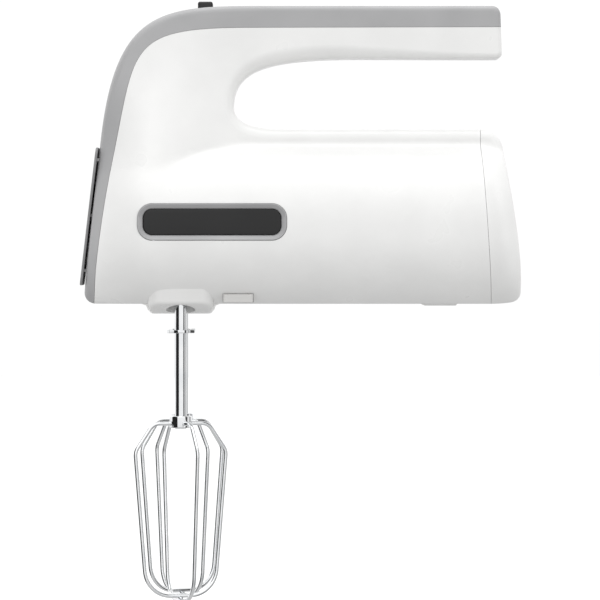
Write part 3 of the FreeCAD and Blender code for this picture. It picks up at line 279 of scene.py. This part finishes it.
@dataclass(frozen=True)
class CircuitLaminate(Finish):
    """Glass-epoxy board: solder mask over a weave, with lighter tracks."""

    track: float = 1.6
    relief: float = 0.02
    gloss_reach: float = 0.06

    def surface(self, tree: bpy.types.NodeTree, shader: bpy.types.Node) -> None:
        """Lay the tracks out as a broken grid under the mask."""
        where = self.place(tree)
        tracks = node(tree, "TexBrick", Vector=where, Scale=1 / self.track,
                      Mortar_Size=0.08, Brick_Width=2.4, Row_Height=0.7)
        colour = blend(tree, tracks.outputs["Fac"], self.colour, self.second, 0.2, 0.8)
        tree.links.new(colour, shader.inputs["Base Color"])
        weave = node(tree, "TexNoise", Vector=where, Scale=1.8, Detail=2.0)
        self.raised(tree, shader, weave.outputs["Fac"], self.relief)
        self.spread(tree, shader, weave.outputs["Fac"], self.gloss_reach)


# Each finish is named for the real material and its making; the comment says what it gives.
FINISHES: dict[str, Finish] = {
    # polished-tool ABS, titanium white: clean highlights over an almost even white
    "white_body": MouldedPlastic("polished_white_abs", "#EEEEED", "#EAEAE9", 0.3, relief=0.006),
    # the same ABS in warm light grey, from a finely eroded tool
    "outlet_light": MouldedPlastic("light_grey_abs", "#D9D8D6", "#D2D1CF", 0.42, relief=0.014),
    # painted ABS: even mid grey with a soft satin sheen
    "grey_trim": MouldedPlastic("satin_grey_paint", "#ABABAC", "#A6A6A7", 0.42, coat=0.15),
    # spark-eroded ABS a shade darker than the trim
    "cover_grey": MouldedPlastic("eroded_grey_abs", "#8B8B8C", "#868687", 0.5, relief=0.016),
    # tinted acrylic: nearly black and smooth, so its greys are what it reflects
    "dark_badge": MouldedPlastic("smoked_acrylic", "#161617", "#141415", 0.34, relief=0.004,
                                 ior=1.46),
    # fine matt black ABS that a thumb has polished a little
    "black_knob": MouldedPlastic("matt_black_abs", "#161617", "#1C1C1D", 0.5, grain=0.3,
                                 relief=0.02, mottle=4.0),
    # glass-filled nylon: dark, dull, with fibre flecks
    "dark_plastic": MouldedPlastic("filled_nylon", "#343436", "#3F3F41", 0.55, grain=0.6,
                                   relief=0.02, mottle=3.0),
    # natural acetal: waxy off-white
    "gear_plastic": MouldedPlastic("natural_acetal", "#E6E2D8", "#DEDACE", 0.38),
    # cold-rolled steel, lightly oiled
    "steel": DrawnMetal("cold_rolled_steel", "#B4B5B8", "#A6A8AB", 0.28),
    # zinc plate: slightly cloudy and blue
    "screw_steel": DrawnMetal("zinc_plated_steel", "#BFC2C6", "#AEB2B8", 0.32),
    # oil-filled sintered bronze with open pores, painted darker as shade
    "bronze": SinteredPart("sintered_bronze", "#B08D57", "#7A5C33", 0.45),
    # pressed ferrite and carbon: dull dark grey with fine pores, painted darker as shade
    "magnet": SinteredPart("pressed_ferrite", "#4A4A4C", "#2E2E30", 0.6, metallic=0.0),
    # enamelled copper wire, wound tight, with painted shade between the turns
    "copper": WoundWire("enamelled_copper", "#C67B4A", "#7E4423", 0.32),
    # green solder mask over glass-epoxy with lighter tracks
    "board": CircuitLaminate("glass_epoxy_board", "#1F5C35", "#3E8A55", 0.38),
    # soft PVC insulation: a muted red with a low sheen
    "wire_insulation": MouldedPlastic("pvc_insulation", "#9C2F2C", "#8C2826", 0.45, mottle=9.0),
    # bright chrome on drawn wire: near mirror with faint lines along the wire
    "beater_chrome": DrawnMetal("chrome_plate", "#F2F3F4", "#E6E8EA", 0.06,
                                lines=(2.5, 2.5, 0.06), relief=0.0025),
}


class Paintshop:
    """Builds each finish once and dresses nodes and pieces with it."""

    def __init__(self) -> None:
        """Start with no material built."""
        self.built: dict[str, bpy.types.Material] = {}

    def material(self, slot: str) -> bpy.types.Material:
        """The material of a slot of the record."""
        if slot not in self.built:
            self.built[slot] = FINISHES[slot].build()
        return self.built[slot]

    def dress_frame(self) -> None:
        """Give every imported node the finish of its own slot."""
        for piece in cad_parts.values():
            for seat in piece.material_slots:
                seat.material = self.material(seat.material.name.split(".")[0])

    def dress(self, piece: bpy.types.Object, slot: str) -> None:
        """Give a new piece the one finish of a slot of the record."""
        piece.data.materials.clear()
        piece.data.materials.append(self.material(slot))


# Modelling ------------------------------------------------------------------------

MERGE = 0.004 * MM  # corners nearer than this are one corner
FLAT_ANGLE = math.radians(0.6)  # faces that turn less than this are one face
SHARP_ANGLE = math.radians(40.0)  # edges that turn more than this are rounded


def deselect() -> None:
    """Leave object mode with nothing selected."""
    if bpy.context.object is not None and bpy.context.object.mode != "OBJECT":
        bpy.ops.object.mode_set(mode="OBJECT")
    bpy.ops.object.select_all(action="DESELECT")


def only(piece: bpy.types.Object) -> None:
    """Select one piece alone and make it active."""
    deselect()
    piece.select_set(True)
    bpy.context.view_layer.objects.active = piece


@contextmanager
def editing(piece: bpy.types.Object) -> Iterator[None]:
    """Edit mode on one piece, and back to object mode afterwards."""
    only(piece)
    bpy.ops.object.mode_set(mode="EDIT")
    yield
    bpy.ops.object.mode_set(mode="OBJECT")


def pick(piece: bpy.types.Object, wanted: Callable[[bpy.types.MeshPolygon], bool]) -> None:
    """Select the faces of the piece in edit mode that pass a test.

    Args:
        piece: The piece in edit mode.
        wanted: Says of each face whether it is selected.
    """
    bpy.ops.mesh.select_mode(type="FACE")
    bpy.ops.mesh.select_all(action="DESELECT")
    bpy.ops.object.mode_set(mode="OBJECT")
    for face in piece.data.polygons:
        face.select = wanted(face)
    bpy.ops.object.mode_set(mode="EDIT")


def block(name: str, low: Vector, high: Vector) -> bpy.types.Object:
    """A box between two corners, with its place in its mesh."""
    deselect()
    bpy.ops.mesh.primitive_cube_add(size=1.0, location=(low + high) / 2, scale=high - low)
    return settled(name)


def settled(name: str) -> bpy.types.Object:
    """Name the active object and move its place, turn and size into its mesh."""
    piece = bpy.context.object
    bpy.ops.object.transform_apply(location=True, rotation=True, scale=True)
    piece.name = name
    piece.data.name = name
    return piece


def apply_modifier(piece: bpy.types.Object, kind: str, **settings: object) -> None:
    """Add one modifier with its settings and apply it."""
    only(piece)
    modifier = piece.modifiers.new(kind.lower(), kind)
    for name, value in settings.items():
        setattr(modifier, name, value)
    bpy.ops.object.modifier_apply(modifier=modifier.name)


def smooth(piece: bpy.types.Object, angle: float = 32.0) -> None:
    """Shade the piece smooth except over sharp edges."""
    only(piece)
    bpy.ops.object.shade_smooth_by_angle(angle=math.radians(angle))


def joined(name: str, pieces: list[bpy.types.Object]) -> bpy.types.Object:
    """Join several meshes into the first."""
    deselect()
    for piece in pieces:
        piece.select_set(True)
    bpy.context.view_layer.objects.active = pieces[0]
    bpy.ops.object.join()
    pieces[0].name = name
    pieces[0].data.name = name
    return pieces[0]


def softened(source: str, name: str, edge: float) -> bpy.types.Object:
    """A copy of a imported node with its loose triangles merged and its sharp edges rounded.

    Args:
        source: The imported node's name.
        name: The new piece's name.
        edge: Radius of the rounding, in millimetres.

    Returns:
        The new piece, standing where the node does.
    """
    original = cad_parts[source]
    piece = bpy.data.objects.new(name, original.data.copy())
    bpy.context.scene.collection.objects.link(piece)
    piece.data.name = name
    with editing(piece):
        bpy.ops.mesh.customdata_custom_splitnormals_clear()
        bpy.ops.mesh.select_all(action="SELECT")
        bpy.ops.mesh.remove_doubles(threshold=MERGE)
        bpy.ops.mesh.dissolve_limited(angle_limit=FLAT_ANGLE)
    apply_modifier(piece, "BEVEL", width=edge * MM, segments=3, limit_method="ANGLE",
                   angle_limit=SHARP_ANGLE, use_clamp_overlap=True)
    smooth(piece)
    return piece


@dataclass
class Workshop:
    """Seats finished pieces on their bodies and keeps count of them."""

    paint: Paintshop
    made: list[str] = field(default_factory=list)

    def seat(self, piece: bpy.types.Object, body: str, slot: str, *stands_for: str) -> None:
        """Dress a piece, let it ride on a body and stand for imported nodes.

        Args:
            piece: The finished piece.
            body: The body it moves with.
            slot: The record's material slot.
            *stands_for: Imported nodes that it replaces.
        """
        self.paint.dress(piece, slot)
        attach(piece, body)
        if stands_for:
            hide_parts(*stands_for)
        self.made.append(piece.name)
        LOG.info("%s on %s, %d faces", piece.name, body, len(piece.data.polygons))


# Sub-assemblies --------------------------------------------------------------------


@dataclass
class Casing:
    """Small parts on the outside of the housing, with moulded edges in millimetres."""

    plate_edge: float = 0.35
    bezel_edge: float = 0.25
    badge_edge: float = 0.3
    foot_edge: float = 0.4

    def build(self, shop: Workshop) -> None:
        """Soften the edges of the front cover, the bezels, the badges and the foot."""
        cover = softened("front_vent_cover", "front_cover_plate", self.plate_edge)
        shop.seat(cover, "mixer_body", "cover_grey", "front_vent_cover")
        for side in SIDES:
            bezel = softened(f"{side}_badge_bezel", f"{side}_bezel", self.bezel_edge)
            shop.seat(bezel, "mixer_body", "grey_trim", f"{side}_badge_bezel")
            plate = softened(f"{side}_badge_plate", f"{side}_badge", self.badge_edge)
            shop.seat(plate, "mixer_body", "dark_badge", f"{side}_badge_plate")
        foot = softened("rest_foot", "rear_foot", self.foot_edge)
        shop.seat(foot, "mixer_body", "white_body", "rest_foot")


@dataclass
class SpeedKnob:
    """The black knob on the grip: a dished top with ribs across it, in millimetres."""

    edge: float = 1.0
    rim: float = 0.66
    dish_slope: float = 0.4
    dish: float = 0.5
    ribs: int = 5
    rib_width: float = 0.5
    rib_height: float = 0.35
    rib_root: float = 0.9
    rib_edge: float = 0.18
    end_margin: float = 2.1
    side_margin: float = 2.7
    upright: float = 0.99
    hair: float = 0.01

    def build(self, shop: Workshop) -> None:
        """Round a block, sink its top and stand the ribs in the dish."""
        low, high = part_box("speed_knob")
        body = block("knob_cap", low, high)
        apply_modifier(body, "BEVEL", width=self.edge * MM, segments=4, limit_method="ANGLE")
        with editing(body):
            pick(body, lambda face: (face.normal.z > self.upright
                                     and face.center.z > high.z - self.hair * MM))
            bpy.ops.mesh.inset(thickness=self.rim * MM, depth=0.0)
            bpy.ops.mesh.inset(thickness=self.dish_slope * MM, depth=-self.dish * MM)
        parts = [body]
        room = high.x - low.x - 2 * self.end_margin * MM
        reach = (high.y - low.y) / 2 - self.side_margin * MM
        root = high.z - self.rib_root * MM
        crown = high.z - (self.dish - self.rib_height) * MM
        for index in range(self.ribs):
            across = (low.x + high.x) / 2 + room * (index / (self.ribs - 1) - 0.5)
            half = self.rib_width * MM / 2
            rib = block("knob_rib", Vector((across - half, -reach, root)),
                        Vector((across + half, reach, crown)))
            apply_modifier(rib, "BEVEL", width=self.rib_edge * MM, segments=2,
                           limit_method="ANGLE")
            parts.append(rib)
        knob = joined("thumb_knob", parts)
        smooth(knob)
        shop.seat(knob, "knob", "black_knob", "speed_knob")


@dataclass
class Beater:
    """One wire beater's weld and softened collar and hub, in millimetres and degrees."""

    side: str
    edge: float = 0.2
    weld_radius: float = 1.25
    weld_flatness: float = 0.55
    weld_lift: float = 1.0
    weld_angle: float = 60.0

    def build(self, shop: Workshop) -> None:
        """Soften the hub and collar and add the weld where the wires cross."""
        body = f"{self.side}_beater"
        hub = softened(f"{body}_hub", f"{self.side}_hub", self.edge)
        shop.seat(hub, body, "beater_chrome", f"{body}_hub")
        collar = softened(f"{body}_collar", f"{self.side}_collar", self.edge)
        shop.seat(collar, body, "beater_chrome", f"{body}_collar")
        low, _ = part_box(f"{body}_loop_b")
        upper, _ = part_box(f"{body}_loop_a")
        shaft_low, shaft_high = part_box(f"{body}_shaft")
        middle = (shaft_low + shaft_high) / 2
        centre = Vector((middle.x, middle.y, (upper.z + low.z) / 2 + self.weld_lift * MM))
        deselect()
        bpy.ops.mesh.primitive_uv_sphere_add(segments=24, ring_count=12,
                                             radius=self.weld_radius * MM, location=centre)
        bpy.context.object.scale.z = self.weld_flatness
        weld = settled(f"{self.side}_weld")
        smooth(weld, self.weld_angle)
        shop.seat(weld, body, "beater_chrome")


# Studio ---------------------------------------------------------------------------


class Glow(Enum):
    """The world's brightness in three directions."""

    ABOVE = 1.2
    LEVEL = 1.02
    BELOW = 0.6


class Lamp(Enum):
    """Square soft lights: place, size in metres and power in watts."""

    FRONT_FILL = ((-0.9, -2.4, 0.9), 1.6, 2.0)
    TOP_SOFT = ((0.1, -0.2, 1.9), 1.4, 9.0)


class Card(Enum):
    """Upright cards: place across, nearest and furthest place in depth, and brightness."""

    LEFT = (-1.5, -2.4, 0.13, 0.02)
    RIGHT = (1.2, -1.08, -0.34, 0.08)
    RIGHT_PALE = (1.2, -0.02, 0.98, 0.5)


@dataclass
class Studio:
    """A pale floor, an even bright surround, soft lights and the camera."""

    eye: Vector = field(default_factory=lambda: Vector((0.0416, -2.4, 0.030)))
    picture_width: float = 0.282
    picture_middle: tuple[float, float] = (0.0557, 0.0063)
    sensor: float = 36.0
    furthest: float = 60.0
    floor_size: float = 12.0
    floor_drop: float = 46 * MM
    horizon: float = 0.49
    aim: Vector = field(default_factory=lambda: Vector((0.05, 0.0, 0.03)))
    card_height: float = 3.0

    def build(self) -> None:
        """Set up everything round the object."""
        bpy.context.scene.view_settings.view_transform = "Standard"
        self.floor()
        self.surround()
        for lamp in Lamp:
            self.light(lamp)
        for card in Card:
            self.card(card)
        self.camera()

    def floor(self) -> None:
        """A large pale floor, clear from below and low enough for a beater pulled right out."""
        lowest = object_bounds()[0].z
        deselect()
        bpy.ops.mesh.primitive_plane_add(size=self.floor_size,
                                         location=(0, 0, lowest - self.floor_drop))
        floor = settled("studio_floor")
        material = bpy.data.materials.new("pale_floor")
        tree = fresh_tree(material)
        where = node(tree, "TexCoord").outputs["Object"]
        cloud = node(tree, "TexNoise", Vector=where, Scale=1.5, Detail=2.0)
        shader = node(tree, "BsdfPrincipled", Roughness=0.9, Emission_Strength=0.16,
                      Emission_Color=linear("#FFFFFF"),
                      Base_Color=blend(tree, cloud.outputs["Fac"], "#F4F4F4", "#F2F2F2"))
        under = node(tree, "NewGeometry").outputs["Backfacing"]
        clear = node(tree, "BsdfTransparent").outputs["BSDF"]
        choice = tree.nodes.new("ShaderNodeMixShader")
        for slot, source in enumerate((under, shader.outputs["BSDF"], clear)):
            tree.links.new(source, choice.inputs[slot])
        node(tree, "OutputMaterial", Surface=choice.outputs["Shader"])
        floor.data.materials.append(material)
        floor.visible_diffuse = False
        floor.visible_glossy = False
        floor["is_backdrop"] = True

    def surround(self) -> None:
        """Light from all round, bright above and dimmer below."""
        world = bpy.data.worlds.new("surround")
        bpy.context.scene.world = world
        tree = fresh_tree(world)
        direction = node(tree, "TexCoord").outputs["Generated"]
        height = node(tree, "SeparateXYZ", Vector=direction).outputs["Z"]
        share = node(tree, "MapRange", Value=height, From_Min=-0.5, From_Max=0.5)
        ramp = node(tree, "ValToRGB", Fac=share.outputs["Result"])
        steps = [(0.0, Glow.BELOW), (self.horizon, Glow.LEVEL), (1.0, Glow.ABOVE)]
        ramp.color_ramp.elements.new(self.horizon)
        for element, (position, glow) in zip(ramp.color_ramp.elements, steps):
            element.position = position
            element.color = (glow.value, glow.value, glow.value, 1.0)
        background = node(tree, "Background", Color=ramp.outputs["Color"], Strength=1.0)
        node(tree, "OutputWorld", Surface=background.outputs["Background"])

    def light(self, lamp: Lamp) -> None:
        """Hang one soft light and turn it to the object."""
        place, size, power = lamp.value
        light = bpy.data.lights.new(lamp.name.lower(), "AREA")
        light.shape = "SQUARE"
        light.size = size
        light.energy = power
        holder = bpy.data.objects.new(light.name, light)
        holder.location = place
        holder.rotation_euler = (self.aim - Vector(place)).to_track_quat("-Z", "Y").to_euler()
        bpy.context.scene.collection.objects.link(holder)

    def card(self, card: Card) -> None:
        """Stand a card beside the object that only shows as a streak in bright metal."""
        across, near, far, glow = card.value
        middle = Vector((across, (near + far) / 2, 0.0))
        deselect()
        bpy.ops.mesh.primitive_plane_add(size=1.0, location=middle,
                                         rotation=(0.0, math.pi / 2, 0.0))
        bpy.context.object.scale = (self.card_height, far - near, 1.0)
        plane = settled(card.name.lower() + "_card")
        material = bpy.data.materials.new(plane.name)
        tree = fresh_tree(material)
        shade = node(tree, "Emission", Color=(glow, glow, glow, 1.0))
        node(tree, "OutputMaterial", Surface=shade.outputs["Emission"])
        plane.data.materials.append(material)
        plane.visible_camera = False
        plane.visible_diffuse = False
        plane.visible_shadow = False
        plane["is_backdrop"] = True

    def camera(self) -> None:
        """A long lens level with the housing, square to its left side."""
        lens = bpy.data.cameras.new("side_camera")
        lens.sensor_width = self.sensor
        lens.lens = self.sensor * -self.eye.y / self.picture_width
        lens.shift_x = (self.picture_middle[0] - self.eye.x) / self.picture_width
        lens.shift_y = (self.picture_middle[1] - self.eye.z) / self.picture_width
        lens.clip_end = self.furthest
        holder = bpy.data.objects.new("side_camera", lens)
        holder.location = self.eye
        holder.rotation_euler = (math.pi / 2, 0.0, 0.0)
        bpy.context.scene.collection.objects.link(holder)
        bpy.context.scene.camera = holder


def main() -> None:
    """Dress the frame, build the pieces and set up the studio."""
    paint = Paintshop()
    paint.dress_frame()
    shop = Workshop(paint)
    Casing().build(shop)
    SpeedKnob().build(shop)
    for side in SIDES:
        Beater(side).build(shop)
    Studio().build()
    deselect()
    LOG.info("%d pieces over %d packed nodes", len(shop.made), len(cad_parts))


if __name__ == "__main__":
    main()
